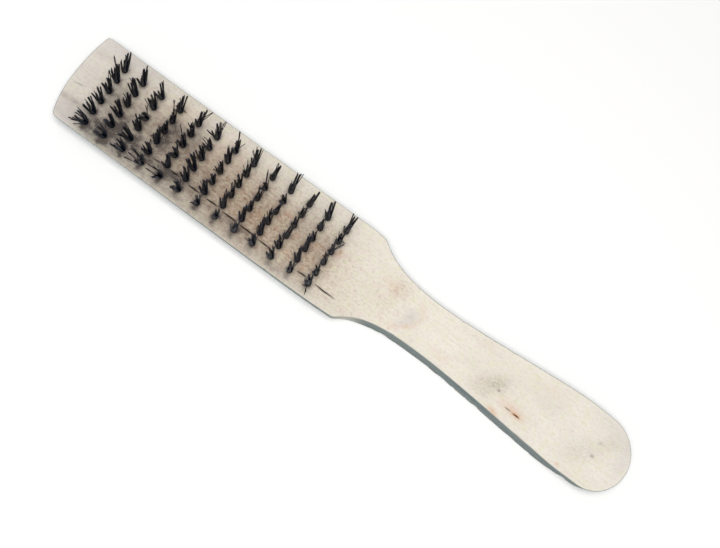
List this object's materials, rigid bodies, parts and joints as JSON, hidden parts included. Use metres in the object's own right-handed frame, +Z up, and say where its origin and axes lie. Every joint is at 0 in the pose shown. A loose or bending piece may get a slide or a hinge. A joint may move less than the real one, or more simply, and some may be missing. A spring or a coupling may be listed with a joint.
{
  "type": "wire brush",
  "caption": "Hand wire brush: rows of upright steel wire tufts on the wide head of a one-piece wooden block with a waisted paddle handle, for scrubbing metal.",
  "frame": {"origin": "centre of the bounding box in X and Y, on the brush's flat back face", "axes": "+X from the nose of the head to the butt of the handle, +Z up out of the bristle side of the block, +Y across the head"},
  "size_m": [0.2908, 0.0427, 0.0355],
  "materials": {
    "wood": "bare sanded hardwood, worn and stained",
    "wire": "dark tempered steel wire, dull with light rust"
  },
  "bodies": {
    "root": {"block": "wood", "tufts_row01_pair1": "wire", "tufts_row01_pair2": "wire", "tufts_row01_pair3": "wire", "tufts_row02_pair1": "wire", "tufts_row02_pair2": "wire", "tufts_row02_pair3": "wire", "tufts_row03_pair1": "wire", "tufts_row03_pair2": "wire", "tufts_row03_pair3": "wire", "tufts_row04_pair1": "wire", "tufts_row04_pair2": "wire", "tufts_row04_pair3": "wire", "tufts_row05_pair1": "wire", "tufts_row05_pair2": "wire", "tufts_row05_pair3": "wire", "tufts_row06_pair1": "wire", "tufts_row06_pair2": "wire", "tufts_row06_pair3": "wire", "tufts_row07_pair1": "wire", "tufts_row07_pair2": "wire", "tufts_row07_pair3": "wire", "tufts_row08_pair1": "wire", "tufts_row08_pair2": "wire", "tufts_row08_pair3": "wire", "tufts_row09_pair1": "wire", "tufts_row09_pair2": "wire", "tufts_row09_pair3": "wire", "tufts_row10_pair1": "wire", "tufts_row10_pair2": "wire", "tufts_row10_pair3": "wire", "tufts_row11_pair1": "wire", "tufts_row11_pair2": "wire", "tufts_row11_pair3": "wire", "tufts_row12_pair1": "wire", "tufts_row12_pair2": "wire", "tufts_row12_pair3": "wire", "tufts_row13_pair1": "wire", "tufts_row13_pair2": "wire", "tufts_row13_pair3": "wire"}
  },
  "joints": []
}
